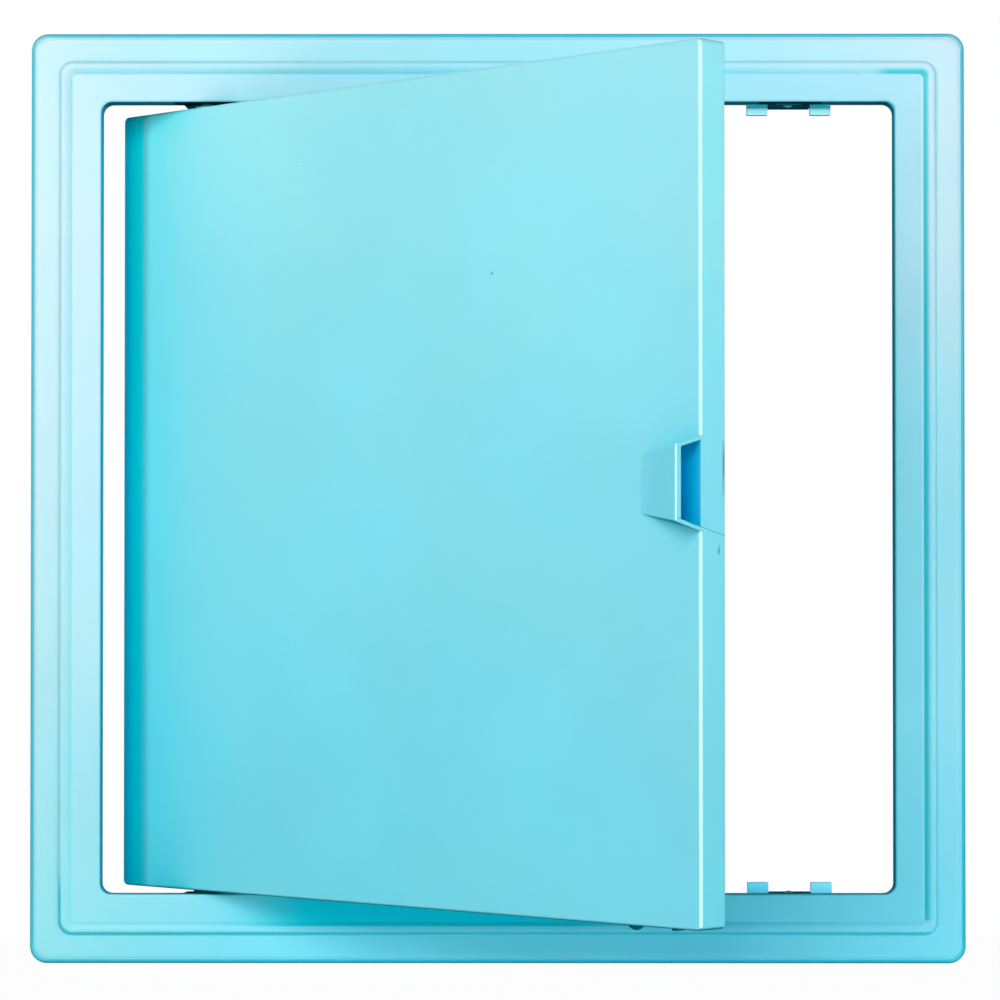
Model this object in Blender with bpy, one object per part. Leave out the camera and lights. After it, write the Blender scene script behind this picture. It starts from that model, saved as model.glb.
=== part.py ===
"""Access panel: a moulded frame for a 200 mm opening, with a door that turns on two pivot pins.

Units are metres. X runs to the right, Z up and Y into the wall; the front faces -Y.
The origin is the centre of the opening, in the plane where the flange meets the wall.
The door is modelled closed and then turned about the hinge axis to the opening angle below.
"""
import math

import bmesh
import bpy
from mathutils import Matrix, Vector

MM = 0.001

# Frame face, seen from the front
FLANGE_WIDTH = 222.0 * MM
FLANGE_HEIGHT = 221.0 * MM
FLANGE_CORNER_RADIUS = 4.0 * MM
BORDER_WIDTH = 16.55 * MM
SIDE_FIELD_EXTRA = 0.35 * MM
LAND_HEIGHT = 2.85 * MM
FIELD_HEIGHT = 3.4 * MM
FLANGE_EDGE_RADIUS = 1.9 * MM
FLANGE_EDGE_WIDTH = 2.5 * MM
BEAD_INSET = 6.85 * MM
BEAD_WIDTH = 3.1 * MM
BEAD_FLANK = 1.1 * MM
BEAD_RISE = 0.65 * MM
BEAD_OUTER_RADIUS = 3.2 * MM
BEAD_INNER_RADIUS = 1.2 * MM
APERTURE_CORNER_RADIUS = 2.5 * MM
APERTURE_EDGE_RADIUS = 0.5 * MM

# Frame back
FLANGE_WALL = 1.7 * MM
RIM_WIDTH = 3.0 * MM
COLLAR_REACH = 6.0 * MM
COLLAR_WALL = 1.6 * MM
COLLAR_DRAFT = math.radians(2.5)
OPENING_SIZE = 200.0 * MM
OPENING_CLEARANCE = 0.4 * MM
GUSSET_THICKNESS = 1.6 * MM
GUSSET_REACH = 4.6 * MM

# Door tray
SIDE_GAP = 0.7 * MM
END_GAP = 1.1 * MM
DOOR_DROP = 0.25 * MM
DOOR_SKIN = 1.8 * MM
DOOR_DEPTH = 7.5 * MM
DOOR_WALL = 1.6 * MM
DOOR_CORNER_RADIUS = 1.3 * MM
DOOR_EDGE_RADIUS = 0.8 * MM
RIB_THICKNESS = 1.2 * MM
RIB_HEIGHT = 2.4 * MM

# Hinge
HINGE_INSET = 24.65 * MM
HINGE_DEPTH = 6.0 * MM
OPENING_ANGLE = math.radians(44.45)
PIN_RADIUS = 1.2 * MM
PIN_HEAD_RADIUS = 2.1 * MM
PIN_HEAD_HEIGHT = 0.9 * MM
PIVOT_BOSS_RADIUS = 3.0 * MM
PIVOT_BOSS_LENGTH = 4.6 * MM
PIVOT_PAD_HEIGHT = 0.8 * MM
FIT_GAP = 0.3 * MM

# Finger pull moulded on the free edge of the door
PULL_LENGTH = 17.5 * MM
PULL_HEIGHT = 7.9 * MM
PULL_START_WIDTH = 11.8 * MM
PULL_MOUTH_WIDTH = 19.9 * MM
PULL_SIDE_LEAN = 0.25
PULL_LIP = 1.75 * MM
PULL_SIDE_WALL = 0.9 * MM
PULL_CORNER_RADIUS = 0.3 * MM
PULL_LIP_RADIUS = 0.6 * MM

# Stop tabs of the frame, anchor legs and the lugs of the door
STATION_INSET = HINGE_INSET - 0.2 * MM
TAB_WIDTH = 5.0 * MM
TAB_PITCH = 15.1 * MM
TAB_REACH = 2.2 * MM
TAB_THICKNESS = 1.5 * MM
TAB_TIP_RADIUS = 0.2 * MM
LEG_WIDTH = 11.6 * MM
LEG_THICKNESS = 1.5 * MM
LEG_REACH = 19.3 * MM
LEG_RIDGE_DEPTH = 7.75 * MM
LEG_RIDGE_RADIUS = 1.35 * MM
LEG_RIDGE_HEIGHT = 0.5 * MM
STAPLE_WALL = 1.4 * MM
STAPLE_DEPTH = 4.0 * MM
TONGUE_WIDTH = 6.0 * MM
TONGUE_THICKNESS = 1.3 * MM
TONGUE_ROOT = 2.4 * MM
TONGUE_LENGTH = 6.2 * MM
NIB_DEPTH = 6.0 * MM
NIB_LENGTH = 2.4 * MM
NIB_WIDTH = 4.9 * MM
NIB_RISE_TOP = 0.6 * MM
NIB_RISE_BOTTOM = 1.5 * MM
NUB_INSET = 10.45 * MM
NUB_WIDTH = 2.8 * MM
NUB_RISE = 0.8 * MM
CATCH_GROOVE_DEPTH = 0.75 * MM

CORNER_STEPS = 8

# Places worked out from the sizes above
HALF_WIDTH = FLANGE_WIDTH / 2
HALF_HEIGHT = FLANGE_HEIGHT / 2
APERTURE_X = HALF_WIDTH - BORDER_WIDTH - SIDE_FIELD_EXTRA
APERTURE_Z = HALF_HEIGHT - BORDER_WIDTH
FACE_Y = -FIELD_HEIGHT
DOOR_X = APERTURE_X - SIDE_GAP
DOOR_Z = APERTURE_Z - END_GAP
DOOR_BACK_Y = FACE_Y + DOOR_DEPTH
HINGE_X = -APERTURE_X + HINGE_INSET
HINGE_Y = FACE_Y + HINGE_DEPTH
STATION_X = APERTURE_X - STATION_INSET
COLLAR_FLARE = math.tan(COLLAR_DRAFT)
SPIGOT_HALF = OPENING_SIZE / 2 - OPENING_CLEARANCE


def collar_inner_z(y):
    """Height of the collar's inner face at depth y, above the middle of the opening."""
    return APERTURE_Z + (y - FACE_Y) * COLLAR_FLARE


def remove_all():
    for item in list(bpy.data.objects):
        bpy.data.objects.remove(item, do_unlink=True)


def plastic(name, colour, roughness):
    material = bpy.data.materials.new(name)
    material.use_nodes = True
    shader = material.node_tree.nodes["Principled BSDF"]
    shader.inputs["Base Color"].default_value = (*colour, 1.0)
    shader.inputs["Roughness"].default_value = roughness
    shader.inputs["Metallic"].default_value = 0.0
    return material


def add_object(name, bm, material=None, smooth_angle=30.0):
    bmesh.ops.recalc_face_normals(bm, faces=bm.faces)
    if bm.calc_volume(signed=True) < 0:
        bmesh.ops.reverse_faces(bm, faces=bm.faces)
    mesh = bpy.data.meshes.new(name)
    bm.to_mesh(mesh)
    bm.free()
    mesh.shade_smooth()
    mesh.set_sharp_from_angle(angle=math.radians(smooth_angle))
    if material:
        mesh.materials.append(material)
    item = bpy.data.objects.new(name, mesh)
    bpy.context.collection.objects.link(item)
    return item


def combine(target, tool, operation):
    """Join the tool to the target, or cut it away, and delete the tool."""
    modifier = target.modifiers.new(operation.lower(), "BOOLEAN")
    modifier.operation = operation
    modifier.solver = "EXACT"
    modifier.object = tool
    bpy.context.view_layer.update()
    graph = bpy.context.evaluated_depsgraph_get()
    shaped = bpy.data.meshes.new_from_object(target.evaluated_get(graph))
    target.modifiers.clear()
    target.data = shaped
    bpy.data.objects.remove(tool, do_unlink=True)


def add_box(bm, low, high):
    """A box between two corners; returns its vertices."""
    low, high = Vector(low), Vector(high)
    size = high - low
    place = Matrix.Translation((low + high) / 2) @ Matrix.Diagonal((*size, 1.0))
    return bmesh.ops.create_cube(bm, size=1.0, matrix=place)["verts"]


def bevel_edges(bm, edges, width, segments):
    return bmesh.ops.bevel(bm, geom=edges, offset=width, offset_type="OFFSET", segments=segments,
                           profile=0.5, affect="EDGES", clamp_overlap=True, material=-1)


def edges_along(verts, axis, keep=lambda middle: True):
    """Edges between the given vertices that run along one axis."""
    wanted = set(verts)
    found = []
    for edge in {edge for vert in verts for edge in vert.link_edges}:
        if edge.verts[0] not in wanted or edge.verts[1] not in wanted:
            continue
        step = edge.verts[1].co - edge.verts[0].co
        middle = (edge.verts[1].co + edge.verts[0].co) / 2
        if abs(step[axis]) > 0.99 * step.length and keep(middle):
            found.append(edge)
    return found


def loft(bm, sections, closed=False, capped=False):
    """Skin over sections with equal numbers of points; a closed loft joins the last to the first."""
    rings = [[bm.verts.new(point) for point in section] for section in sections]
    pairs = list(zip(rings, rings[1:]))
    if closed:
        pairs.append((rings[-1], rings[0]))
    for first, second in pairs:
        for k in range(len(first)):
            bm.faces.new((first[k - 1], first[k], second[k], second[k - 1]))
    if capped:
        bm.faces.new(rings[0])
        bm.faces.new(rings[-1])


def rounded_rectangle(half_x, half_z, radius, y):
    """Points of an upright rectangle with round corners, at depth y."""
    points = []
    for quarter in range(4):
        side_x = 1 if quarter in (0, 3) else -1
        side_z = 1 if quarter in (0, 1) else -1
        centre_x = side_x * (half_x - radius)
        centre_z = side_z * (half_z - radius)
        for step in range(CORNER_STEPS + 1):
            angle = math.radians(90) * (quarter + step / CORNER_STEPS)
            x = centre_x + radius * math.cos(angle)
            z = centre_z + radius * math.sin(angle)
            points.append((x, y, z))
    return points


def arc(start, end, steps, level_first):
    """Quarter ellipse from one (inset, height) point to another, without its first point."""
    points = []
    for step in range(1, steps + 1):
        angle = math.radians(90) * step / steps
        early, late = math.sin(angle), 1 - math.cos(angle)
        across, up = (early, late) if level_first else (late, early)
        points.append((start[0] + (end[0] - start[0]) * across, start[1] + (end[1] - start[1]) * up))
    return points


def bead_profile():
    """Steep outer flank from a sharp crease, then a round back that ends in a line, as (inset, height)."""
    crest = (BEAD_INSET + BEAD_FLANK, FIELD_HEIGHT + BEAD_RISE)
    points = arc((BEAD_INSET, LAND_HEIGHT), crest, 6, False)
    fall = BEAD_WIDTH - BEAD_FLANK
    radius = (fall * fall + BEAD_RISE * BEAD_RISE) / (2 * BEAD_RISE)
    last_angle = math.asin(fall / radius)
    for step in range(1, 8):
        angle = last_angle * step / 7
        points.append((crest[0] + radius * math.sin(angle), crest[1] - radius * (1 - math.cos(angle))))
    return points


def corner_radius(inset):
    """Corner radius of the face at a distance in from the outer edge."""
    stations = (
        (0.0, FLANGE_CORNER_RADIUS),
        (BEAD_INSET, BEAD_OUTER_RADIUS),
        (BEAD_INSET + BEAD_WIDTH, BEAD_INNER_RADIUS),
        (BORDER_WIDTH, APERTURE_CORNER_RADIUS),
    )
    for (inset_a, radius_a), (inset_b, radius_b) in zip(stations, stations[1:]):
        if inset <= inset_b:
            share = (inset - inset_a) / (inset_b - inset_a)
            return radius_a + (radius_b - radius_a) * share
    return APERTURE_CORNER_RADIUS


def frame_rings():
    """The frame's cross-section as (inset, height, corner radius), once round."""
    edge_start = (0.0, LAND_HEIGHT - FLANGE_EDGE_RADIUS)
    edge_end = (FLANGE_EDGE_WIDTH, LAND_HEIGHT)
    lip_start = (BORDER_WIDTH - APERTURE_EDGE_RADIUS, FIELD_HEIGHT)
    lip_end = (BORDER_WIDTH, FIELD_HEIGHT - APERTURE_EDGE_RADIUS)
    front = [(0.0, 0.0), edge_start, *arc(edge_start, edge_end, 5, False), (BEAD_INSET, LAND_HEIGHT)]
    front += bead_profile()
    front += [lip_start, *arc(lip_start, lip_end, 3, True)]
    rings = [(inset, height, corner_radius(inset)) for inset, height in front]

    flare = (COLLAR_REACH + FIELD_HEIGHT) * COLLAR_FLARE
    end_inset = BORDER_WIDTH - flare
    outer_inset = end_inset - COLLAR_WALL
    wide_radius = APERTURE_CORNER_RADIUS + COLLAR_WALL
    under_land = LAND_HEIGHT - FLANGE_WALL
    under_field = FIELD_HEIGHT - FLANGE_WALL
    crest_inset = BEAD_INSET + BEAD_FLANK
    rings += [
        (end_inset, -COLLAR_REACH, APERTURE_CORNER_RADIUS),
        (outer_inset, -COLLAR_REACH, wide_radius),
        (outer_inset, under_field, wide_radius),
        (BEAD_INSET + BEAD_WIDTH, under_field, BEAD_INNER_RADIUS),
        (crest_inset + 0.8 * MM, under_field + 0.6 * MM, 0.5 * (BEAD_OUTER_RADIUS + BEAD_INNER_RADIUS)),
        (crest_inset, under_field + 0.6 * MM, BEAD_OUTER_RADIUS),
        (BEAD_INSET, under_land, BEAD_OUTER_RADIUS),
        (RIM_WIDTH, under_land, FLANGE_CORNER_RADIUS),
        (RIM_WIDTH, 0.0, FLANGE_CORNER_RADIUS),
    ]
    return rings


def add_gusset(bm, side_axis, sign, along):
    """A triangular rib from the collar to the back of the flange."""
    root = (APERTURE_X if side_axis == 0 else APERTURE_Z) + COLLAR_WALL * 0.7
    low = [0.0, 0.0, 0.0]
    high = [0.0, 0.0, 0.0]
    cross_axis = 2 if side_axis == 0 else 0
    low[cross_axis], high[cross_axis] = along - GUSSET_THICKNESS / 2, along + GUSSET_THICKNESS / 2
    low[1], high[1] = -FIELD_HEIGHT + FLANGE_WALL * 0.6, GUSSET_REACH
    reach = sorted((sign * root, sign * SPIGOT_HALF))
    low[side_axis], high[side_axis] = reach
    verts = add_box(bm, low, high)
    for vert in verts:
        outer = abs(vert.co[side_axis]) > (root + SPIGOT_HALF) / 2
        if outer and vert.co[1] > 0:
            vert.co[1] = COLLAR_REACH * 0.1


def add_staple(bm, x, side):
    """The pocket outside the collar that an anchor leg slides into."""
    inner = LEG_WIDTH / 2 + FIT_GAP
    top = SPIGOT_HALF
    root = collar_inner_z(0.0) + COLLAR_WALL * 0.6
    front = -FIELD_HEIGHT + FLANGE_WALL * 0.6
    for hand in (-1, 1):
        near, far = sorted((x + hand * inner, x + hand * (inner + STAPLE_WALL)))
        low_z, high_z = sorted((side * root, side * top))
        add_box(bm, (near, front, low_z), (far, STAPLE_DEPTH, high_z))
    low_z, high_z = sorted((side * (top - STAPLE_WALL), side * top))
    span = inner + STAPLE_WALL / 2
    add_box(bm, (x - span, STAPLE_DEPTH * 0.25, low_z), (x + span, STAPLE_DEPTH - 0.05 * MM, high_z))


def add_tab(bm, x, side):
    """A stop tab behind the closed door, at a side of the catch station."""
    tip = APERTURE_Z - TAB_REACH
    root = APERTURE_Z + COLLAR_WALL * 0.6
    low_z, high_z = sorted((side * tip, side * root))
    front = DOOR_BACK_Y + FIT_GAP
    back = front + TAB_THICKNESS
    verts = add_box(bm, (x - TAB_WIDTH / 2, front, low_z), (x + TAB_WIDTH / 2, back, high_z))
    middle = (tip + root) / 2
    tip_edges = edges_along(verts, 1, lambda place: abs(place.z) < middle)
    bevel_edges(bm, tip_edges, TAB_TIP_RADIUS, 3)


def build_frame(material):
    bm = bmesh.new()
    sections = []
    for inset, height, radius in frame_rings():
        extra = SIDE_FIELD_EXTRA if inset > BEAD_INSET + BEAD_WIDTH + FIT_GAP else 0.0
        sections.append(rounded_rectangle(HALF_WIDTH - inset - extra, HALF_HEIGHT - inset, radius, -height))
    loft(bm, sections, closed=True)
    frame = add_object("frame", bm, material)

    bm = bmesh.new()
    for share in (-0.4, 0.0, 0.4):
        for sign in (-1, 1):
            add_gusset(bm, 2, sign, share * APERTURE_X)
            add_gusset(bm, 0, sign, share * 1.5 * APERTURE_Z)
    for side in (-1, 1):
        for hand in (-1, 1):
            add_tab(bm, STATION_X + hand * TAB_PITCH / 2, side)
    combine(frame, add_object("frame_additions", bm), "UNION")
    for x in (HINGE_X, STATION_X):
        for side in (-1, 1):
            bm = bmesh.new()
            add_staple(bm, x, side)
            combine_parts(frame, bm)

    bm = bmesh.new()
    for side in (-1, 1):
        middle = side * (APERTURE_Z + COLLAR_WALL / 2)
        place = Matrix.Translation((HINGE_X, HINGE_Y, middle))
        bmesh.ops.create_cone(bm, cap_ends=True, segments=24, radius1=PIN_RADIUS + FIT_GAP,
                              radius2=PIN_RADIUS + FIT_GAP, depth=COLLAR_WALL * 3, matrix=place)
    combine(frame, add_object("pivot_holes", bm), "DIFFERENCE")

    bm = bmesh.new()
    half = NIB_WIDTH / 2 + 2 * FIT_GAP
    for side in (-1, 1):
        middle = FACE_Y + NIB_DEPTH
        deep = collar_inner_z(middle) + CATCH_GROOVE_DEPTH
        low_z, high_z = sorted((side * (APERTURE_Z - 1.0 * MM), side * deep))
        reach = NIB_LENGTH / 2 + 2 * FIT_GAP
        add_box(bm, (STATION_X - half, middle - reach, low_z), (STATION_X + half, middle + reach, high_z))
    combine(frame, add_object("catch_grooves", bm), "DIFFERENCE")
    return frame


def combine_parts(target, bm):
    """Join the separate boxes of a bmesh to the target, one after another."""
    islands = split_islands(bm)
    bm.free()
    for index, piece in enumerate(islands):
        combine(target, add_object("addition_%d" % index, piece), "UNION")


def split_islands(bm):
    """Copies of the connected bodies of a bmesh, each in a bmesh of its own."""
    left = set(bm.verts)
    bodies = []
    for start in list(bm.verts):
        if start not in left:
            continue
        body, queue = set(), [start]
        while queue:
            vert = queue.pop()
            if vert in body:
                continue
            body.add(vert)
            queue.extend(edge.other_vert(vert) for edge in vert.link_edges)
        left -= body
        copy = bmesh.new()
        twin = {vert: copy.verts.new(vert.co) for vert in bm.verts if vert in body}
        for face in bm.faces:
            if face.verts[0] in body:
                copy.faces.new([twin[vert] for vert in face.verts])
        bodies.append(copy)
    return bodies


def build_leg(name, x, side, material):
    """An anchor leg: a root in the staple, a step round the collar's end, and the long tongue."""
    bm = bmesh.new()
    half = LEG_WIDTH / 2
    collar_end = COLLAR_REACH + FIT_GAP
    root_z = collar_inner_z(COLLAR_REACH) + COLLAR_WALL + FIT_GAP
    tongue_z = collar_inner_z(collar_end)
    tip_z = collar_inner_z(LEG_REACH)
    root_front = -FIELD_HEIGHT + FLANGE_WALL + FIT_GAP
    thick = LEG_THICKNESS
    outline = [
        (root_front, root_z), (collar_end, root_z), (collar_end, tongue_z),
        (LEG_REACH - 0.5 * MM, tip_z), (LEG_REACH, tip_z + 0.5 * MM), (LEG_REACH, tip_z + thick),
        (collar_end + thick, tongue_z + thick), (collar_end + thick, root_z + thick),
        (root_front, root_z + thick),
    ]
    loft(bm, [[(place, y, side * z) for y, z in outline] for place in (x - half, x + half)], capped=True)
    leg = add_object(name, bm, material)

    bump = bmesh.new()
    bump_z = side * (collar_inner_z(LEG_RIDGE_DEPTH) + LEG_THICKNESS / 3)
    rise = LEG_RIDGE_HEIGHT + LEG_THICKNESS / 3
    place = Matrix.Translation((x, LEG_RIDGE_DEPTH, bump_z)) @ Matrix.Diagonal((1.0, 0.62, rise / LEG_RIDGE_RADIUS, 1.0))
    bmesh.ops.create_uvsphere(bump, u_segments=20, v_segments=12, radius=LEG_RIDGE_RADIUS, matrix=place)
    combine(leg, add_object("bump", bump), "UNION")
    return leg


def pull_section(x, share, inset, floor_y):
    """Cross-section of the finger pull at x; the ramp's share runs from 0 to 1 at the mouth."""
    half_base = (PULL_START_WIDTH + (PULL_MOUTH_WIDTH - PULL_START_WIDTH) * share) / 2 - inset[0]
    height = pull_height(share) - inset[1]
    half_top = half_base - PULL_SIDE_LEAN * height
    radius = min(PULL_CORNER_RADIUS, height / 2)
    top_y = FACE_Y - height
    lower = [(half_base, floor_y), (half_base, FACE_Y)]
    corner = [
        (half_top + PULL_SIDE_LEAN * radius, top_y + radius),
        (half_top - 0.3 * radius, top_y + 0.3 * radius),
        (half_top - radius, top_y),
    ]
    right = lower + corner
    left = [(-z, y) for z, y in reversed(right)]
    return [(x, y, z) for z, y in right + left]


def pull_height(share):
    """Height of the ramp: a soft start, then straight to the mouth."""
    ease = 0.1
    straight = share - ease * (1 - math.exp(-share / ease))
    full = 1 - ease * (1 - math.exp(-1 / ease))
    return PULL_HEIGHT * straight / full


def rounded_lip(floor_y):
    """Last sections of the pull, where the top of the ramp turns into the mouth's rim."""
    sections = []
    for step in range(6):
        angle = math.radians(90) * step / 5
        x = DOOR_X - PULL_LIP_RADIUS * (1 - math.sin(angle))
        share = 1 - (DOOR_X - x) / PULL_LENGTH
        sections.append(pull_section(x, share, (0.0, PULL_LIP_RADIUS * (1 - math.cos(angle))), floor_y))
    return sections


def add_pull(bm, first_share, steps, inset, floor_y, overshoot):
    """Loft of the finger pull, or of the hollow under it when an inset is given."""
    sections = []
    for step in range(steps + 1):
        share = first_share + (1 - first_share) * (step / steps)
        x = DOOR_X - PULL_LENGTH * (1 - share)
        if overshoot or x < DOOR_X - PULL_LIP_RADIUS:
            sections.append(pull_section(x, share, inset, floor_y))
    if overshoot:
        sections.append(pull_section(DOOR_X + overshoot, 1.0, inset, floor_y))
    else:
        sections += rounded_lip(floor_y)
    loft(bm, sections, capped=True)


def add_nub(bm, x, side):
    """Small wedge-shaped nub near the free edge."""
    base = DOOR_Z - DOOR_WALL / 2
    tip = DOOR_Z + NUB_RISE
    low_z, high_z = sorted((side * base, side * tip))
    back = DOOR_BACK_Y - 1.0 * MM
    verts = add_box(bm, (x - NUB_WIDTH / 2, back - 2.4 * MM, low_z), (x + NUB_WIDTH / 2, back, high_z))
    for vert in verts:
        if abs(vert.co.z) > DOOR_Z and vert.co.x > x:
            vert.co.x = x


def build_door(material, hinge):
    bm = bmesh.new()
    verts = add_box(bm, (-DOOR_X, FACE_Y, -DOOR_Z), (DOOR_X, DOOR_BACK_Y, DOOR_Z))
    bevel_edges(bm, edges_along(verts, 1), DOOR_CORNER_RADIUS, 5)
    front = [edge for edge in bm.edges if all(abs(vert.co.y - FACE_Y) < 1e-7 for vert in edge.verts)]
    bevel_edges(bm, front, DOOR_EDGE_RADIUS, 4)
    door = add_object("door_panel", bm, material)

    bm = bmesh.new()
    inner_x, inner_z = DOOR_X - DOOR_WALL, DOOR_Z - DOOR_WALL
    low = (-inner_x, FACE_Y + DOOR_SKIN, -inner_z)
    add_box(bm, low, (inner_x, DOOR_BACK_Y + 1.0 * MM, inner_z))
    combine(door, add_object("tray_hollow", bm), "DIFFERENCE")

    rib_front = FACE_Y + DOOR_SKIN * 0.6
    rib_back = FACE_Y + DOOR_SKIN + RIB_HEIGHT
    for share in (-1 / 3, 1 / 3):
        bm = bmesh.new()
        x = share * DOOR_X
        reach = DOOR_Z - DOOR_WALL / 2
        add_box(bm, (x - RIB_THICKNESS / 2, rib_front, -reach), (x + RIB_THICKNESS / 2, rib_back, reach))
        combine(door, add_object("upright_rib", bm), "UNION")
    for share in (-1 / 3, 1 / 3):
        bm = bmesh.new()
        z = share * DOOR_Z
        reach = DOOR_X - DOOR_WALL / 2
        add_box(bm, (-reach, rib_front, z - RIB_THICKNESS / 2), (reach, rib_back, z + RIB_THICKNESS / 2))
        combine(door, add_object("cross_rib", bm), "UNION")

    bm = bmesh.new()
    for side in (-1, 1):
        near = DOOR_Z - PIVOT_BOSS_LENGTH
        far = DOOR_Z + PIVOT_PAD_HEIGHT
        place = Matrix.Translation((HINGE_X, HINGE_Y, side * (near + far) / 2))
        bmesh.ops.create_cone(bm, cap_ends=True, segments=32, radius1=PIVOT_BOSS_RADIUS,
                              radius2=PIVOT_BOSS_RADIUS, depth=far - near, matrix=place)
    add_nub(bm, DOOR_X - NUB_INSET, -1)
    combine(door, add_object("bosses_and_nub", bm), "UNION")

    bm = bmesh.new()
    for side in (-1, 1):
        low_z, high_z = sorted((side * (DOOR_Z - DOOR_WALL * 2), side * (DOOR_Z + DOOR_WALL)))
        half = TONGUE_WIDTH / 2 + FIT_GAP
        front = FACE_Y + TONGUE_ROOT - FIT_GAP
        add_box(bm, (STATION_X - half, front, low_z), (STATION_X + half, DOOR_BACK_Y + 1.0 * MM, high_z))
    combine(door, add_object("tongue_windows", bm), "DIFFERENCE")

    bm = bmesh.new()
    add_pull(bm, 0.06, 10, (0.0, 0.0), FACE_Y + DOOR_SKIN * 0.6, 0.0)
    combine(door, add_object("pull_outside", bm), "UNION")
    bm = bmesh.new()
    add_pull(bm, 0.36, 6, (PULL_SIDE_WALL, PULL_LIP), FACE_Y, 1.0 * MM)
    combine(door, add_object("pull_hollow", bm), "DIFFERENCE")

    bm = bmesh.new()
    for side in (-1, 1):
        place = Matrix.Translation((HINGE_X, HINGE_Y, side * DOOR_Z))
        bmesh.ops.create_cone(bm, cap_ends=True, segments=24, radius1=PIN_RADIUS + FIT_GAP,
                              radius2=PIN_RADIUS + FIT_GAP, depth=PIVOT_BOSS_LENGTH * 4, matrix=place)
    combine(door, add_object("pin_holes", bm), "DIFFERENCE")
    hang_on_hinge(door, hinge)
    return door


def build_tongue(name, side, nib_rise, material, door):
    """A springy catch tongue of the door, with a domed nib near its tip; its origin is at its root."""
    root = FACE_Y + TONGUE_ROOT
    tip = root + TONGUE_LENGTH
    outer = DOOR_Z
    inner = outer - TONGUE_THICKNESS
    bm = bmesh.new()
    low_z, high_z = sorted((side * inner, side * outer))
    half = TONGUE_WIDTH / 2
    verts = add_box(bm, (STATION_X - half, root, low_z), (STATION_X + half, tip, high_z))
    bevel_edges(bm, edges_along(verts, 2, lambda middle: middle.y > (root + tip) / 2), 1.2 * MM, 4)
    tongue = add_object(name, bm, material)

    bm = bmesh.new()
    bury = TONGUE_THICKNESS / 3
    centre = Vector((STATION_X, FACE_Y + NIB_DEPTH, side * (outer - bury)))
    scale = Matrix.Diagonal((NIB_WIDTH / 2, NIB_LENGTH / 2, nib_rise + bury, 1.0))
    bmesh.ops.create_uvsphere(bm, u_segments=24, v_segments=14, radius=1.0,
                              matrix=Matrix.Translation(centre) @ scale)
    below = [vert for vert in bm.verts if abs(vert.co.z) < outer - bury - 0.01 * MM]
    bmesh.ops.delete(bm, geom=below, context="VERTS")
    bmesh.ops.holes_fill(bm, edges=bm.edges)
    combine(tongue, add_object("nib", bm), "UNION")
    flex = Vector((STATION_X, root, side * (outer + inner) / 2))
    tongue.data.transform(Matrix.Translation(-flex))
    tongue.parent = door
    tongue.location = flex - Vector((HINGE_X, HINGE_Y, 0.0))
    return tongue


def build_pin(name, side, material, hinge):
    """A headed pivot pin, pushed through the boss from inside the tray."""
    bm = bmesh.new()
    head_top = DOOR_Z - PIVOT_BOSS_LENGTH - FIT_GAP
    head_bottom = head_top - PIN_HEAD_HEIGHT
    tip = APERTURE_Z + COLLAR_WALL * 0.9
    chamfer = 0.4 * MM
    profile = [
        (0.0, head_bottom), (PIN_HEAD_RADIUS - 0.3 * MM, head_bottom), (PIN_HEAD_RADIUS, head_bottom + 0.3 * MM),
        (PIN_HEAD_RADIUS, head_top), (PIN_RADIUS, head_top), (PIN_RADIUS, tip - chamfer),
        (PIN_RADIUS - chamfer, tip), (0.0, tip),
    ]
    verts = [bm.verts.new((radius, 0.0, side * z)) for radius, z in profile]
    edges = [bm.edges.new(pair) for pair in zip(verts, verts[1:])]
    bmesh.ops.spin(bm, geom=verts + edges, cent=(0, 0, 0), axis=(0, 0, 1), angle=math.tau, steps=24,
                   use_merge=True)
    bmesh.ops.remove_doubles(bm, verts=bm.verts, dist=0.00001)
    bmesh.ops.translate(bm, verts=bm.verts, vec=(HINGE_X, HINGE_Y, 0.0))
    pin = add_object(name, bm, material)
    hang_on_hinge(pin, hinge)
    return pin


def hang_on_hinge(item, hinge):
    """Put the object's origin on the hinge axis and hang it on the turned empty."""
    item.data.transform(Matrix.Translation((-HINGE_X, -HINGE_Y, 0.0)))
    item.parent = hinge


def build():
    remove_all()
    shell = plastic("cyan_abs", (0.165, 0.72, 0.83), 0.38)
    pin_plastic = plastic("cyan_acetal", (0.12, 0.6, 0.72), 0.3)

    build_frame(shell)
    for column, x in (("left", HINGE_X), ("right", STATION_X)):
        build_leg("anchor_leg_top_" + column, x, 1, shell)
        build_leg("anchor_leg_bottom_" + column, x, -1, shell)

    hinge = bpy.data.objects.new("door_hinge_axis", None)
    bpy.context.collection.objects.link(hinge)
    hinge.location = (HINGE_X, HINGE_Y, -DOOR_DROP)
    hinge.rotation_euler = (0.0, 0.0, -OPENING_ANGLE)
    door = build_door(shell, hinge)
    build_tongue("catch_tongue_top", 1, NIB_RISE_TOP, shell, door)
    build_tongue("catch_tongue_bottom", -1, NIB_RISE_BOTTOM, shell, door)
    build_pin("pivot_pin_top", 1, pin_plastic, hinge)
    build_pin("pivot_pin_bottom", -1, pin_plastic, hinge)


build()
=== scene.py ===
"""Looks for the access panel: moulded cyan plastic in a plain white studio.

The tints and the numbers in the two painted light functions come from a fit to the photograph's colours, and
were then rounded. Shade and light that are painted by place or direction are right for the rest pose only.
"""

import math

import bmesh
import bpy
from mathutils import Matrix, Vector

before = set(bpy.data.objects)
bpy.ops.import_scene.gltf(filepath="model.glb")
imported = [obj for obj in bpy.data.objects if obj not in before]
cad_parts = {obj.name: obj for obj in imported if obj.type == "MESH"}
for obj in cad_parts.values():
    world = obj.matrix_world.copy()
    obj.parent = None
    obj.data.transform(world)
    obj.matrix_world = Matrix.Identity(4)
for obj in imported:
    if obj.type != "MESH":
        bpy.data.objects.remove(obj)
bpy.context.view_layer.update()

MM = 0.001

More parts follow.
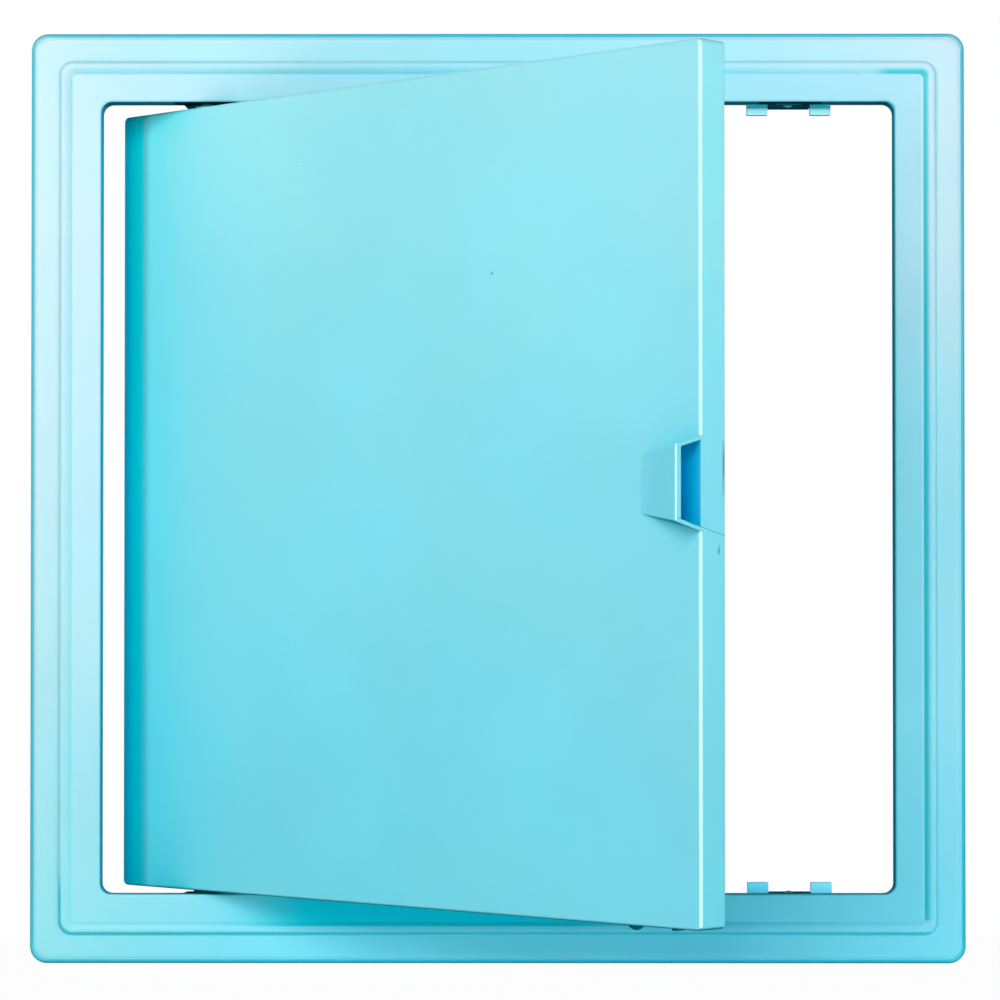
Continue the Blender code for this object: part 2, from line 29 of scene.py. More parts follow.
# Places on the part as it stands at rest, from the opening's middle at the front face
RIM_REACH = 108.0 * MM
FIELD_REACH = 100.5 * MM
COLLAR_OUTSIDE = 98.5 * MM
OPENING_SIDE = 94.0 * MM
STATION_X = 69.65 * MM
STATION_HALF = 7.4 * MM
SLOT_HALF = 4.7 * MM
RIDGE_Y = 6.5 * MM
FREE_EDGE_Y = -104.5 * MM
LUG_Z = -93.15 * MM
HAIRLINE_X = 42.7 * MM
HAIRLINE_DROP = 9.3 * MM
HAIRLINE_SLOPE = 0.345
RECESS_SIZE = 160.0 * MM

WHITE = (1.0, 1.0, 1.0)
BRIGHTEST = (0.95, 0.95, 0.97)


# Node helpers
def new_material(name):
    material = bpy.data.materials.new(name)
    material.use_nodes = True
    tree = material.node_tree
    tree.nodes.clear()
    return material, tree


def add(tree, kind, **values):
    """A node with its properties and unlinked sockets set from keywords."""
    node = tree.nodes.new(kind)
    for key, value in values.items():
        if hasattr(node, key):
            setattr(node, key, value)
        else:
            node.inputs[key.replace("_", " ")].default_value = value
    return node


def maths(tree, operation, first, second=None, third=None, clamp=False):
    node = tree.nodes.new("ShaderNodeMath")
    node.operation = operation
    node.use_clamp = clamp
    for socket, value in zip(node.inputs, (first, second, third)):
        if value is None:
            continue
        if isinstance(value, (int, float)):
            socket.default_value = value
        else:
            tree.links.new(value, socket)
    return node.outputs[0]


def product(tree, *factors):
    """Sockets or numbers multiplied together."""
    result = factors[0]
    for factor in factors[1:]:
        result = maths(tree, "MULTIPLY", result, factor)
    return result


def most(tree, *masks):
    """The highest of several masks."""
    result = masks[0]
    for mask in masks[1:]:
        result = maths(tree, "MAXIMUM", result, mask)
    return result


def opposite(tree, mask):
    """One minus a mask."""
    return maths(tree, "SUBTRACT", 1.0, mask)


def reverse(tree, direction):
    """A direction's share the other way, such as down instead of up."""
    return maths(tree, "MULTIPLY", direction, -1.0)


def less(tree, shine, mask):
    """The gloss without its share under the mask."""
    return maths(tree, "MULTIPLY", shine, opposite(tree, mask), clamp=True)


def either_side(tree, spot):
    """How far out a point lies, across or up, whichever is more."""
    return most(tree, maths(tree, "ABSOLUTE", spot["X"]), maths(tree, "ABSOLUTE", spot["Z"]))


def mix_colour(tree, factor, first, second, blend="MIX"):
    node = tree.nodes.new("ShaderNodeMix")
    node.data_type = "RGBA"
    node.blend_type = blend
    for socket, value in ((node.inputs[0], factor), (node.inputs[6], first), (node.inputs[7], second)):
        if isinstance(value, (int, float)):
            socket.default_value = value
        elif isinstance(value, tuple):
            socket.default_value = (*value, 1.0)
        else:
            tree.links.new(value, socket)
    return node.outputs[2]


def ramp(tree, value, low, high):
    """Maps the range low to high onto 0 to 1, smoothly."""
    node = tree.nodes.new("ShaderNodeMapRange")
    node.interpolation_type = "SMOOTHSTEP"
    node.inputs["From Min"].default_value = low
    node.inputs["From Max"].default_value = high
    tree.links.new(value, node.inputs["Value"])
    return node.outputs["Result"]


def separated(tree, vector):
    node = tree.nodes.new("ShaderNodeSeparateXYZ")
    tree.links.new(vector, node.inputs[0])
    return node.outputs


def joined(tree, parts):
    """A vector from its X, Y and Z sockets."""
    node = tree.nodes.new("ShaderNodeCombineXYZ")
    for axis in "XYZ":
        tree.links.new(parts[axis], node.inputs[axis])
    return node.outputs[0]


def noise(tree, vector, scale, detail=2.0, roughness=0.5):
    node = tree.nodes.new("ShaderNodeTexNoise")
    node.inputs["Scale"].default_value = scale
    node.inputs["Detail"].default_value = detail
    node.inputs["Roughness"].default_value = roughness
    tree.links.new(vector, node.inputs["Vector"])
    return node.outputs["Fac"]


def stretched(tree, vector, turn, scale):
    node = tree.nodes.new("ShaderNodeMapping")
    node.inputs["Rotation"].default_value = turn
    node.inputs["Scale"].default_value = scale
    tree.links.new(vector, node.inputs["Vector"])
    return node.outputs["Vector"]


def wear_group():
    """Shared surface effects: moulded grain, hairline scratches, rubbed edges and settled dust."""
    group = bpy.data.node_groups.new("moulded_surface", "ShaderNodeTree")
    socket = group.interface.new_socket
    socket("Vector", in_out="INPUT", socket_type="NodeSocketVector")
    socket("Edge", in_out="INPUT", socket_type="NodeSocketFloat")
    socket("Up", in_out="INPUT", socket_type="NodeSocketFloat")
    for name in ("Cloud", "Grain", "Scratch", "Wear", "Dust"):
        socket(name, in_out="OUTPUT", socket_type="NodeSocketFloat")
    entry = group.nodes.new("NodeGroupInput").outputs
    result = group.nodes.new("NodeGroupOutput").inputs
    vector = entry["Vector"]
    link = group.links.new

    link(noise(group, vector, scale=14.0, detail=4.0, roughness=0.55), result["Cloud"])
    link(noise(group, vector, scale=2600.0, detail=3.0, roughness=0.6), result["Grain"])

    along = stretched(group, vector, turn=(0.3, 0.5, 0.2), scale=(9.0, 60.0, 900.0))
    across = stretched(group, vector, turn=(0.1, -0.7, 0.4), scale=(700.0, 60.0, 8.0))
    fine = most(group, ramp(group, noise(group, along, scale=1.0, detail=1.0), 0.7, 0.76),
                ramp(group, noise(group, across, scale=1.0, detail=1.0), 0.71, 0.77))
    patches = ramp(group, noise(group, vector, scale=22.0), 0.55, 0.72)
    link(product(group, fine, patches), result["Scratch"])

    rubbed = ramp(group, noise(group, vector, scale=90.0, detail=3.0), 0.35, 0.7)
    link(product(group, entry["Edge"], rubbed), result["Wear"])

    speck = ramp(group, noise(group, vector, scale=420.0, detail=4.0, roughness=0.7), 0.5, 0.75)
    lying = ramp(group, entry["Up"], 0.35, 1.0)
    link(product(group, speck, lying), result["Dust"])
    return group


def scaled(tree, vector, amount):
    """A constant vector times a socket."""
    node = tree.nodes.new("ShaderNodeVectorMath")
    node.operation = "SCALE"
    node.inputs[0].default_value = vector
    tree.links.new(amount, node.inputs["Scale"])
    return node.outputs[0]


def vectors(tree, operation, first, second):
    node = tree.nodes.new("ShaderNodeVectorMath")
    node.operation = operation
    for socket, value in zip(node.inputs, (first, second)):
        if isinstance(value, tuple):
            socket.default_value = value
        else:
            tree.links.new(value, socket)
    return node.outputs["Value"] if operation == "DOT_PRODUCT" else node.outputs[0]


def tinted(tree, mask, colour, tint):
    """The colour, multiplied by the tint where the mask is 1."""
    return mix_colour(tree, mask, colour, vectors(tree, "MULTIPLY", colour, tint))


def tint_with_painted_light(tree, tint, painted_terms):
    """A tint times e to the sum of its changes, each a socket with what one unit of it does to the tint."""
    sums = (0.0, 0.0, 0.0)
    for factor, change in painted_terms:
        sums = vectors(tree, "ADD", scaled(tree, change, factor), sums)
    parts = separated(tree, sums)
    grown = {axis: maths(tree, "EXPONENT", parts[axis]) for axis in "XYZ"}
    colour = vectors(tree, "MULTIPLY", joined(tree, grown), tint)
    return vectors(tree, "MINIMUM", colour, BRIGHTEST)


def in_decimetres(tree, spot):
    """Places across and up, both in units of 100 mm."""
    return product(tree, spot["X"], 10.0), product(tree, spot["Z"], 10.0)


def frame_painted_light_fits(tree, spot):
    """Fitted changes of tint across the frame, mostly of red: more to the top, the sides and the border.

    They stand in for uneven light or fading; which of the two it was is not known. They are painted
    light: the fall of the light across the frame, painted into the tint.
    """
    x, z = in_decimetres(tree, spot)
    field = maths(tree, "LESS_THAN", either_side(tree, spot), FIELD_REACH)
    return [
        (x, (0.0, 0.02, 0.05)),
        (z, (0.47, 0.06, 0.03)),
        (product(tree, x, x), (0.28, 0.015, -0.03)),
        (product(tree, z, z), (-0.33, -0.035, -0.015)),
        (product(tree, x, z), (0.11, 0.0, -0.02)),
        (field, (-0.1, -0.03, -0.015)),
        (product(tree, x, field), (-0.15, -0.03, -0.025)),
    ]


def door_painted_light_fits(tree, spot):
    """Fitted changes of tint across the door, painted light as for the frame: more red to the top and to both
    sides.
    """
    x, z = in_decimetres(tree, spot)
    return [
        (x, (0.03, -0.06, -0.055)),
        (z, (0.36, 0.09, 0.045)),
        (product(tree, x, x), (0.18, -0.04, -0.04)),
        (product(tree, z, z), (0.0, -0.01, -0.02)),
        (product(tree, x, z), (-0.085, -0.035, -0.025)),
    ]


def aged(tree, surface, place, colour):
    """The colour with its cloudiness, rubbed edges, scratches and dust."""
    cloud = maths(tree, "MULTIPLY_ADD", ramp(tree, surface["Cloud"], 0.3, 0.7), 0.06, 0.94)
    colour = vectors(tree, "MULTIPLY", colour, scaled(tree, WHITE, cloud))
    patch = ramp(tree, noise(tree, place, scale=24.0), 0.35, 0.65)
    colour = vectors(tree, "MULTIPLY", colour, mix_colour(tree, patch, WARM_CLOUD, COOL_CLOUD))
    colour = mix_colour(tree, product(tree, surface["Wear"], 0.25), colour, RUBBED_TONE)
    colour = mix_colour(tree, product(tree, surface["Scratch"], 0.05), colour, RUBBED_TONE)
    return mix_colour(tree, product(tree, surface["Dust"], 0.1), colour, DUST_TONE)


def plastic(name, tint, recess_shade, gloss, roughness, soft_edge, painted_light_fits=None, form=None):
    """Injection-moulded plastic: slightly cloudy, finely grained, paler where it is rubbed.

    The tint deepens and the gloss goes in recesses, found by ambient occlusion: this is painted shade.
    The front's tint changes from place to place by the fitted painted light; the back keeps one tint.
    The form function adds what belongs to one moulding, painted light and shade among it, and returns its
    tint, gloss and glow.
    """
    material, tree = new_material(name)
    link = tree.links.new
    coordinates = tree.nodes.new("ShaderNodeTexCoord").outputs
    place = coordinates["Object"]
    geometry = tree.nodes.new("ShaderNodeNewGeometry")
    bevel = add(tree, "ShaderNodeBevel", samples=6, Radius=soft_edge)
    meeting = vectors(tree, "DOT_PRODUCT", bevel.outputs[0], geometry.outputs["True Normal"])
    edge = ramp(tree, opposite(tree, meeting), 0.004, 0.12)
    facing = separated(tree, geometry.outputs["Normal"])
    spot = separated(tree, place)
    normal = separated(tree, coordinates["Normal"])

    group = tree.nodes.new("ShaderNodeGroup")
    group.node_tree = WEAR
    link(place, group.inputs["Vector"])
    link(edge, group.inputs["Edge"])
    link(facing["Z"], group.inputs["Up"])
    surface = group.outputs

    # Painted shade: where ambient occlusion finds a recess, the tint deepens and the gloss drops
    open_air = add(tree, "ShaderNodeAmbientOcclusion", samples=8, Distance=RECESS_SIZE).outputs["AO"]
    closed = opposite(tree, open_air)
    if form is door_form:
        free_half = ramp(tree, spot["X"], -60.0 * MM, 0.0)
        closed = product(tree, closed, maths(tree, "MULTIPLY_ADD", free_half, -0.5, 1.0))
    painted_terms = [(closed, recess_shade)]
    if painted_light_fits:
        painted_terms += painted_light_fits(tree, spot)
    colour = tint_with_painted_light(tree, tint, painted_terms)
    # Faces that look back keep a plain tint, without the painted light
    if painted_light_fits:
        colour = mix_colour(tree, ramp(tree, normal["Y"], 0.1, 0.5), colour, PLAIN_BACK_TINT)
    shine = product(tree, ramp(tree, open_air, 0.5, 0.95), gloss)
    glow = None
    if form:
        colour, shine, glow = form(tree, spot, normal, open_air, colour, shine)
    colour = aged(tree, surface, place, colour)

    rough = maths(tree, "MULTIPLY_ADD", surface["Cloud"], 0.08, roughness - 0.04)
    rough = maths(tree, "MULTIPLY_ADD", surface["Wear"], -0.06, rough)
    rough = maths(tree, "MULTIPLY_ADD", surface["Dust"], 0.2, rough)

    relief = maths(tree, "MULTIPLY_ADD", surface["Scratch"], -0.6, surface["Grain"])
    bump = add(tree, "ShaderNodeBump", Strength=GRAIN_STRENGTH, Distance=GRAIN_DEPTH)
    link(relief, bump.inputs["Height"])
    link(bevel.outputs[0], bump.inputs["Normal"])

    shader = add(tree, "ShaderNodeBsdfPrincipled", Metallic=0.0, IOR=1.5)
    shader.inputs["Subsurface Weight"].default_value = 0.12
    shader.inputs["Subsurface Scale"].default_value = 1.6 * MM
    shader.inputs["Subsurface Radius"].default_value = (0.25, 0.9, 1.0)
    link(colour, shader.inputs["Base Color"])
    link(shine, shader.inputs["Specular IOR Level"])
    link(rough, shader.inputs["Roughness"])
    link(bump.outputs[0], shader.inputs["Normal"])
    # Emission carries the tabs' painted glow
    if glow:
        link(glow, shader.inputs["Emission Color"])
        shader.inputs["Emission Strength"].default_value = 1.0
    end = tree.nodes.new("ShaderNodeOutputMaterial")
    link(shader.outputs[0], end.inputs["Surface"])
    return material


def bead_shade(tree, spot, normal, reach, ahead):
    """A mask of painted shade on the slopes that face left or down, stronger on the right and lower rails."""
    slope = product(tree, maths(tree, "ADD", normal["X"], normal["Z"]), ramp(tree, ahead, 0.3, 0.7))
    shaded = maths(tree, "SUBTRACT", ramp(tree, reverse(tree, slope), 0.06, 0.42),
                   ramp(tree, reach, RIM_REACH - 2.0 * MM, RIM_REACH), clamp=True)
    shaded_rails = ramp(tree, most(tree, spot["X"], reverse(tree, spot["Z"])), OPENING_SIDE - 6.0 * MM, OPENING_SIDE)
    return product(tree, shaded, maths(tree, "MULTIPLY_ADD", shaded_rails, 0.72, 0.24))


def frame_form(tree, spot, normal, open_air, colour, shine):
    """Painted shade on the walls round the opening, the rim, the bead's slopes, the right rail, the slot
    between tabs and under the door's shadow; painted light and a painted glow on the tabs.
    """
    reach = either_side(tree, spot)
    inner = maths(tree, "LESS_THAN", reach, COLLAR_OUTSIDE)
    ahead = reverse(tree, normal["Y"])
    down = reverse(tree, normal["Z"])
    level = maths(tree, "ABSOLUTE", normal["Y"])
    # Painted shade on the bead's slopes that face left or down
    colour = tinted(tree, bead_shade(tree, spot, normal, reach, ahead), colour, BEAD_SHADE_TINT)

    # Painted shade on the outer rounded rim, darker still where it faces down
    rim = maths(tree, "SUBTRACT", ramp(tree, reach, RIM_REACH - 1.5 * MM, RIM_REACH),
                ramp(tree, level, 0.75, 1.0), clamp=True)
    colour = tinted(tree, rim, colour, RIM_SHADE_TINT)
    colour = tinted(tree, product(tree, rim, ramp(tree, down, 0.6, 0.95)), colour, LOW_RIM_SHADE_TINT)

    # The half-open door's painted shadow on the lower rail's field, right for the rest pose only
    door_shadow = product(tree, maths(tree, "LESS_THAN", spot["Z"], -93.5 * MM),
                    maths(tree, "LESS_THAN", reach, FIELD_REACH + 1.0 * MM),
                    ramp(tree, spot["X"], -68.0 * MM, -44.0 * MM),
                    opposite(tree, ramp(tree, spot["X"], 15.0 * MM, 50.0 * MM)))
    colour = tinted(tree, door_shadow, colour, DOOR_SHADOW_TINT)

    # Painted shade on the walls round the opening, darker where they face down or left, darkest over the
    # upper leg stations
    wall = product(tree, inner, opposite(tree, ramp(tree, level, 0.35, 0.85)))
    under = ramp(tree, down, 0.3, 0.9)
    aside = maths(tree, "ABSOLUTE", maths(tree, "SUBTRACT", maths(tree, "ABSOLUTE", spot["X"]), STATION_X))
    station = product(tree, under, maths(tree, "LESS_THAN", aside, STATION_HALF))
    tint = mix_colour(tree, under, WALL_SHADE_TINT, UPPER_WALL_SHADE_TINT)
    tint = mix_colour(tree, ramp(tree, reverse(tree, normal["X"]), 0.3, 0.9), tint, RIGHT_WALL_SHADE_TINT)
    tint = mix_colour(tree, station, tint, STATION_SHADE_TINT)
    colour = tinted(tree, wall, colour, tint)
    shine = less(tree, shine, most(tree, door_shadow, wall, rim))

    # Painted shade at the middle of the right rail, where the open door keeps light off it
    right_rail_shade = maths(tree, "SUBTRACT", ramp(tree, spot["X"], OPENING_SIDE - 6.0 * MM, OPENING_SIDE),
                 ramp(tree, maths(tree, "ABSOLUTE", spot["Z"]), 0.0, 60.0 * MM), clamp=True)
    colour = tinted(tree, right_rail_shade, colour, RIGHT_RAIL_SHADE_TINT)

    # The stop tabs: painted light on their faces and a painted glow, painted shadow at the upper tabs' roots,
    # and painted shade in the slot between the two of a station
    tab = product(tree, ramp(tree, ahead, 0.8, 0.95), ramp(tree, spot["Y"], 3.0 * MM, 4.0 * MM), inner)
    between = product(tree, tab, maths(tree, "LESS_THAN", aside, SLOT_HALF))
    tab = maths(tree, "SUBTRACT", tab, between)
    colour = mix_colour(tree, between, colour, SLOT_SHADE_TONE)
    upper = ramp(tree, spot["Z"], -10.0 * MM, 10.0 * MM)
    root = product(tree, ramp(tree, reach, 92.8 * MM, 93.6 * MM), upper)
    colour = mix_colour(tree, tab, colour, mix_colour(tree, root, LIT_TAB_TONE, TAB_ROOT_SHADOW_TONE))
    glow = mix_colour(tree, upper, LOWER_TAB_PAINTED_GLOW, UPPER_TAB_PAINTED_GLOW)
    lit = product(tree, tab, maths(tree, "MULTIPLY_ADD", root, -0.9, 1.0))
    return colour, shine, vectors(tree, "MULTIPLY", glow, scaled(tree, WHITE, lit))


def leg_form(tree, spot, normal, open_air, colour, shine):
    """The inner face, behind the collar, is painted nearly black-blue as shade, with a painted highlight on
    the crest of its ridge.
    """
    front = ramp(tree, reverse(tree, normal["Y"]), 0.2, 0.6)
    crest = product(tree, front, maths(tree, "GREATER_THAN", spot["Y"], RIDGE_Y))
    inward = product(tree, normal["Z"], spot["Z"], -10.0)
    inner = product(tree, most(tree, ramp(tree, inward, 0.3, 0.8), front),
                    maths(tree, "LESS_THAN", either_side(tree, spot), COLLAR_OUTSIDE))
    deep = mix_colour(tree, crest, LEG_SHADE_TONE, LEG_CREST_HIGHLIGHT_TONE)
    return mix_colour(tree, inner, colour, deep), less(tree, shine, inner), None


def mark(tree, spot, x, z, size, stretch=1.0):
    """A soft-edged dot as seen from the front, at a place and of a size given in mm."""
    across = maths(tree, "SUBTRACT", spot["X"], x * MM)
    up = product(tree, maths(tree, "SUBTRACT", spot["Z"], z * MM), stretch)
    far = maths(tree, "SQRT", maths(tree, "ADD", product(tree, across, across), product(tree, up, up)))
    return opposite(tree, ramp(tree, far, 0.6 * size * MM, size * MM))


def free_edge(tree, spot, normal, pull, colour):
    """The turned edge away from the hinge: painted light that grows paler upwards, with a hairline, a scuff
    and a rough stretch; also painted light on the pull's slanted face.
    """
    # Painted light on the flange, growing upwards, and on the pull's slant that faces left
    flange = product(tree, maths(tree, "LESS_THAN", spot["Y"], FREE_EDGE_Y),
                     ramp(tree, normal["X"], 0.5, 0.6))
    paler = product(tree, flange, maths(tree, "MULTIPLY_ADD", spot["Z"], 0.35, 0.09))
    colour = vectors(tree, "ADD", colour, scaled(tree, FLANGE_LIGHT_GAIN, paler))
    slant = product(tree, ramp(tree, reverse(tree, normal["X"]), 0.78, 0.88), pull)
    colour = tinted(tree, slant, colour, SLANT_LIGHT_TINT)

    whole = joined(tree, spot)
    wander = noise(tree, stretched(tree, whole, (0.0, 0.0, 0.0), (900.0, 900.0, 60.0)), scale=1.0)
    outward = maths(tree, "SUBTRACT", spot["X"], HAIRLINE_X)
    line = maths(tree, "MULTIPLY_ADD", outward, HAIRLINE_SLOPE, spot["Z"])
    line = maths(tree, "ADD", line, HAIRLINE_DROP)
    line = maths(tree, "MULTIPLY_ADD", maths(tree, "SUBTRACT", wander, 0.5), 0.6 * MM, line)
    hairline = opposite(tree, ramp(tree, maths(tree, "ABSOLUTE", line), 0.03 * MM, 0.13 * MM))
    scuff = product(tree, mark(tree, spot, 46.9, -13.9, 0.9, 0.6), ramp(tree, wander, 0.5, 0.56))
    rough = product(tree, ramp(tree, spot["X"], 47.2 * MM, 47.6 * MM), mark(tree, spot, 47.9, 2.5, 7.2),
                    ramp(tree, wander, 0.42, 0.5))
    worn = product(tree, most(tree, hairline, scuff, rough), flange, 0.75)
    return mix_colour(tree, worn, colour, GRIME_TONE)


def door_form(tree, spot, normal, open_air, colour, shine):
    """Painted highlights on the rounded front edges and the pull's top, painted shade on undersides, lugs,
    the pull's mouth and a band by the hinge, and a few marks of handling.
    """
    ahead = reverse(tree, normal["Y"])
    # Painted shadow of the frame's left rail, in a band next to the hinge, right for the rest pose only
    hinge_shadow = opposite(tree, ramp(tree, spot["X"], -86.2 * MM, -84.6 * MM))
    end = mix_colour(tree, ramp(tree, spot["X"], -90.5 * MM, -85.5 * MM), HINGE_END_SHADOW_TINT, HINGE_BAND_SHADOW_TINT)
    colour = tinted(tree, hinge_shadow, colour, end)
    # Painted shade in the pull's mouth
    mouth = maths(tree, "SUBTRACT", mark(tree, spot, 42.0, 0.0, 25.0),
                  ramp(tree, open_air, 0.4, 0.6), clamp=True)
    colour = mix_colour(tree, mouth, colour, MOUTH_SHADE_TONE)
    # Painted highlight on the front-facing rounded edges
    colour = mix_colour(tree, product(tree, ramp(tree, ahead, 0.84, 0.97), 0.85), colour, EDGE_HIGHLIGHT_AND_SCRATCH_TONE)

    # Painted shade on faces that look down and on the lugs below the door's bottom edge
    shade = most(tree, ramp(tree, reverse(tree, normal["Z"]), 0.35, 0.85),
                 maths(tree, "LESS_THAN", spot["Z"], LUG_Z))
    upper = ramp(tree, spot["Z"], -88.0 * MM, -80.0 * MM)
    dark = mix_colour(tree, upper, UNDERSIDE_SHADE_TONE, PULL_UNDERSIDE_SHADE_TONE)
    colour = mix_colour(tree, shade, colour, dark)
    pull = mark(tree, spot, 40.0, 0.0, 30.0)
    # Painted highlight along the top of the pull
    colour = mix_colour(tree, product(tree, ramp(tree, normal["Z"], 0.3, 0.8), pull, 0.6), colour, EDGE_HIGHLIGHT_AND_SCRATCH_TONE)
    colour = free_edge(tree, spot, normal, pull, colour)

    # A dust speck and a pale scratch on the face
    face = product(tree, ramp(tree, ahead, 0.5, 0.6), 0.6)
    colour = mix_colour(tree, product(tree, mark(tree, spot, -1.0, 47.05, 0.4), face), colour, SPECK_TONE)
    colour = mix_colour(tree, product(tree, mark(tree, spot, -45.3, 76.1, 0.5, 2.5), face), colour, EDGE_HIGHLIGHT_AND_SCRATCH_TONE)
    return colour, less(tree, shine, most(tree, shade, hinge_shadow)), None


# A tint multiplies the colour under it, and a tone replaces it
BEAD_SHADE_TINT = (0.06, 0.74, 0.76)
RIM_SHADE_TINT = (0.15, 0.76, 0.84)
LOW_RIM_SHADE_TINT = (0.2, 0.5, 0.55)
DOOR_SHADOW_TINT = (0.02, 0.86, 0.9)
RIGHT_RAIL_SHADE_TINT = (0.76, 0.94, 0.95)
WALL_SHADE_TINT = (0.12, 0.55, 0.62)
UPPER_WALL_SHADE_TINT = (0.03, 0.18, 0.23)
RIGHT_WALL_SHADE_TINT = (0.05, 0.42, 0.48)
STATION_SHADE_TINT = (0.0, 0.05, 0.07)
LIT_TAB_TONE = (0.5, 0.97, 0.98)
TAB_ROOT_SHADOW_TONE = (0.0, 0.55, 0.66)
SLOT_SHADE_TONE = (0.0, 0.09, 0.13)
LOWER_TAB_PAINTED_GLOW = (0.0, 0.24, 0.36)
UPPER_TAB_PAINTED_GLOW = (0.15, 0.24, 0.3)
LEG_SHADE_TONE = (0.0, 0.07, 0.11)
LEG_CREST_HIGHLIGHT_TONE = (0.1, 0.45, 0.52)
HINGE_END_SHADOW_TINT = (0.0, 0.78, 0.96)
HINGE_BAND_SHADOW_TINT = (0.0, 1.1, 1.1)
MOUTH_SHADE_TONE = (0.0, 0.52, 0.85)
EDGE_HIGHLIGHT_AND_SCRATCH_TONE = (0.8, 0.95, 0.97)
UNDERSIDE_SHADE_TONE = (0.0, 0.14, 0.2)
PULL_UNDERSIDE_SHADE_TONE = (0.0, 0.4, 0.45)
SLANT_LIGHT_TINT = (0.95, 1.08, 1.1)
FLANGE_LIGHT_GAIN = (1.0, 1.3, 1.5)
GRIME_TONE = (0.06, 0.25, 0.31)
SPECK_TONE = (0.06, 0.25, 0.3)
RUBBED_TONE = (0.6, 0.95, 0.97)
DUST_TONE = (0.75, 0.8, 0.8)
WARM_CLOUD = (1.03, 1.0, 0.98)
COOL_CLOUD = (0.97, 1.0, 1.01)
PLAIN_BACK_TINT = (0.1, 0.66, 0.79)
FRAME_TINT = (0.39, 0.746, 0.879)
FRAME_RECESS_SHADE = (-0.6, 0.0, 0.0)
DOOR_TINT = (0.241, 0.763, 0.882)
DOOR_RECESS_SHADE = (-2.2, -0.1, -0.05)
PIN_TINT = (0.12, 0.62, 0.76)
PIN_RECESS_SHADE = (-1.0, -0.35, -0.3)

FRAME_GLOSS = 0.62
DOOR_GLOSS = 0.38
PIN_GLOSS = 0.5
ABS_ROUGHNESS = 0.46
PIN_ROUGHNESS = 0.36
GRAIN_STRENGTH = 0.08
GRAIN_DEPTH = 0.04 * MM

WEAR = wear_group()
FRAME_ABS = plastic("frame_abs_look", FRAME_TINT, FRAME_RECESS_SHADE, FRAME_GLOSS, ABS_ROUGHNESS,
                    soft_edge=0.35 * MM, painted_light_fits=frame_painted_light_fits, form=frame_form)
LEG_ABS = plastic("leg_abs_look", FRAME_TINT, FRAME_RECESS_SHADE, FRAME_GLOSS, ABS_ROUGHNESS,
                  soft_edge=0.25 * MM, painted_light_fits=frame_painted_light_fits, form=leg_form)
DOOR_ABS = plastic("door_abs_look", DOOR_TINT, DOOR_RECESS_SHADE, DOOR_GLOSS, ABS_ROUGHNESS,
                   soft_edge=0.35 * MM, painted_light_fits=door_painted_light_fits, form=door_form)
ACETAL = plastic("cyan_acetal_look", PIN_TINT, PIN_RECESS_SHADE, PIN_GLOSS, PIN_ROUGHNESS, soft_edge=0.2 * MM)

for node_name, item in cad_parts.items():
    if node_name.startswith("pivot_pin"):
        material = ACETAL
    elif node_name == "door_panel" or node_name.startswith("catch_tongue"):
        material = DOOR_ABS
    elif node_name.startswith("anchor_leg"):
        material = LEG_ABS
    else:
        material = FRAME_ABS
    item.data.materials.clear()
    item.data.materials.append(material)
    for polygon in item.data.polygons:
        polygon.material_index = 0


# Studio. The photograph's collar stays dark, so reflections get only a small share of the white.
GLOSSY_SHARE = 0.04
STAGE_COVER = 0.8
FLOOR_RADIUS = 6.0
FLOOR_Z = -0.62


def seen_share(tree):
    """1 for what the camera sees, directly or through a piece, and a share of that in reflections."""
    path = tree.nodes.new("ShaderNodeLightPath").outputs
    seen = most(tree, path["Is Camera Ray"], path["Is Transmission Ray"])
    return maths(tree, "MULTIPLY_ADD", path["Is Glossy Ray"], GLOSSY_SHARE, seen)


def stage_material():
    """White for the camera, a share of that in reflections, and a faint share that takes the shadow."""
    material, tree = new_material("studio_white")
    link = tree.links.new
    matt = add(tree, "ShaderNodeBsdfDiffuse", Color=(0.85, 0.86, 0.87, 1.0))
    glow = add(tree, "ShaderNodeEmission", Color=(1.0, 1.0, 1.0, 1.0), Strength=1.2)
    blend = tree.nodes.new("ShaderNodeMixShader")
    link(product(tree, seen_share(tree), STAGE_COVER), blend.inputs[0])
    link(matt.outputs[0], blend.inputs[1])
    link(glow.outputs[0], blend.inputs[2])
    end = tree.nodes.new("ShaderNodeOutputMaterial")
    link(blend.outputs[0], end.inputs["Surface"])
    return material


def add_floor():
    mesh = bpy.data.meshes.new("floor")
    floor = bpy.data.objects.new("floor", mesh)
    bm = bmesh.new()
    bmesh.ops.create_circle(bm, cap_ends=True, segments=96, radius=FLOOR_RADIUS,
                            matrix=Matrix.Translation((0.0, 0.0, FLOOR_Z)))
    bm.to_mesh(mesh)
    bm.free()
    mesh.materials.append(stage_material())
    bpy.context.collection.objects.link(floor)


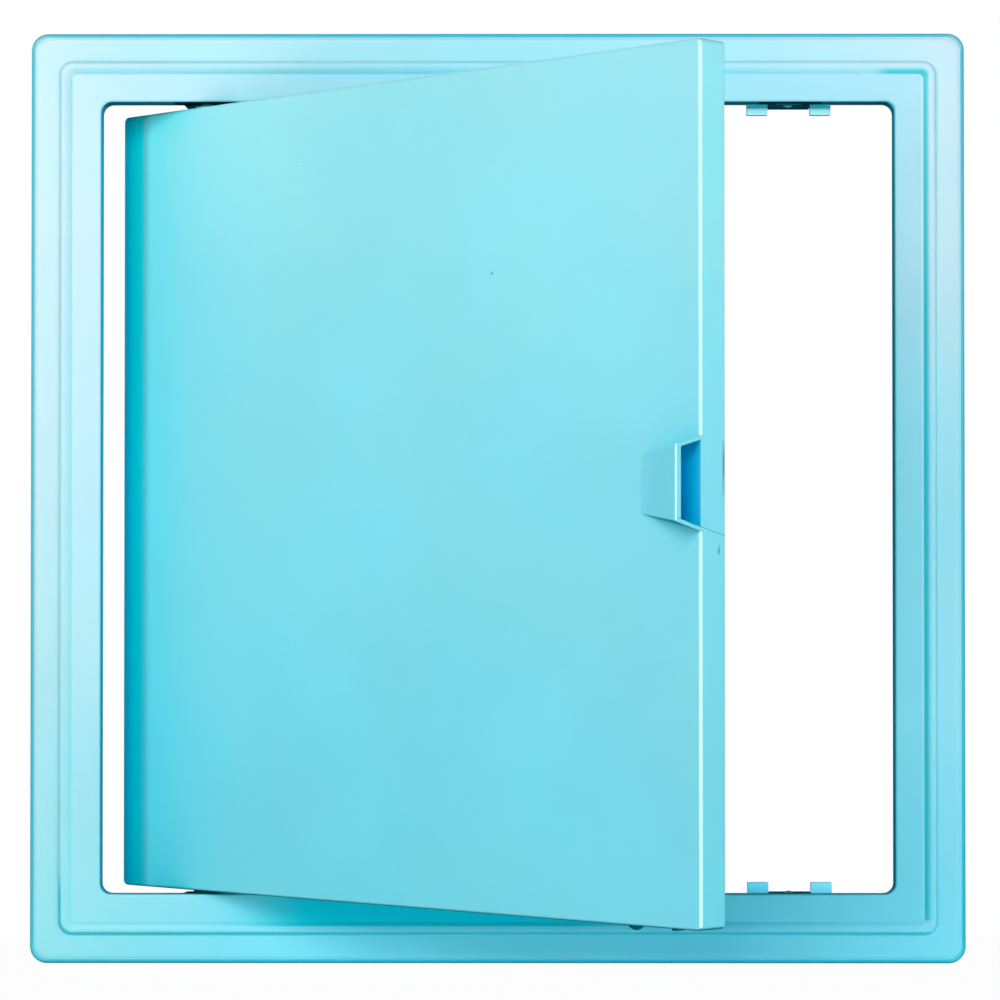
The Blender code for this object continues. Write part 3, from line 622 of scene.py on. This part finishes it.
def add_world(fill):
    world = bpy.data.worlds.new("studio")
    world.use_nodes = True
    tree = world.node_tree
    tree.nodes.clear()
    soft = add(tree, "ShaderNodeBackground", Color=(0.86, 0.96, 1.0, 1.0), Strength=fill)
    white = add(tree, "ShaderNodeBackground", Color=(1.0, 1.0, 1.0, 1.0), Strength=1.0)
    blend = tree.nodes.new("ShaderNodeMixShader")
    tree.links.new(seen_share(tree), blend.inputs[0])
    tree.links.new(soft.outputs[0], blend.inputs[1])
    tree.links.new(white.outputs[0], blend.inputs[2])
    end = tree.nodes.new("ShaderNodeOutputWorld")
    tree.links.new(blend.outputs[0], end.inputs["Surface"])
    bpy.context.scene.world = world


def add_lamp(name, azimuth, elevation, distance, width, height, watts, colour=WHITE):
    """An area lamp that aims at the object; azimuth 0 is in front and grows to the right."""
    data = bpy.data.lights.new(name, "AREA")
    data.shape = "RECTANGLE"
    data.size = width
    data.size_y = height
    data.energy = watts
    data.color = colour
    lamp = bpy.data.objects.new(name, data)
    turn, lift = math.radians(azimuth), math.radians(elevation)
    lamp.location = Vector((math.sin(turn) * math.cos(lift), -math.cos(turn) * math.cos(lift),
                            math.sin(lift))) * distance
    lamp.rotation_euler = lamp.location.to_track_quat("Z", "Y").to_euler()
    bpy.context.collection.objects.link(lamp)


def add_camera():
    data = bpy.data.cameras.new("photo_camera")
    data.sensor_width = 36.0
    data.lens = 136.3
    data.shift_y = 0.039
    data.clip_start = 0.05
    camera = bpy.data.objects.new("photo_camera", data)
    camera.location = (3.7 * MM, -900.7 * MM, -25.4 * MM)
    camera.rotation_euler = (math.radians(90.99), 0.0, math.radians(0.20))
    bpy.context.collection.objects.link(camera)
    bpy.context.scene.camera = camera


add_floor()
add_world(fill=0.11)
add_lamp("key", azimuth=-42.0, elevation=12.0, distance=1.5, width=0.22, height=0.9, watts=7.6)
add_lamp("high", azimuth=-12.0, elevation=22.0, distance=1.8, width=0.7, height=0.7, watts=15.7,
         colour=(1.0, 0.96, 0.94))
add_lamp("right", azimuth=44.0, elevation=-8.0, distance=1.6, width=0.9, height=0.5, watts=10.1,
         colour=(0.5, 0.97, 1.0))
add_lamp("back", azimuth=180.0, elevation=40.0, distance=2.4, width=1.0, height=1.0, watts=16.0)
add_camera()
bpy.context.scene.view_settings.view_transform = "Standard"
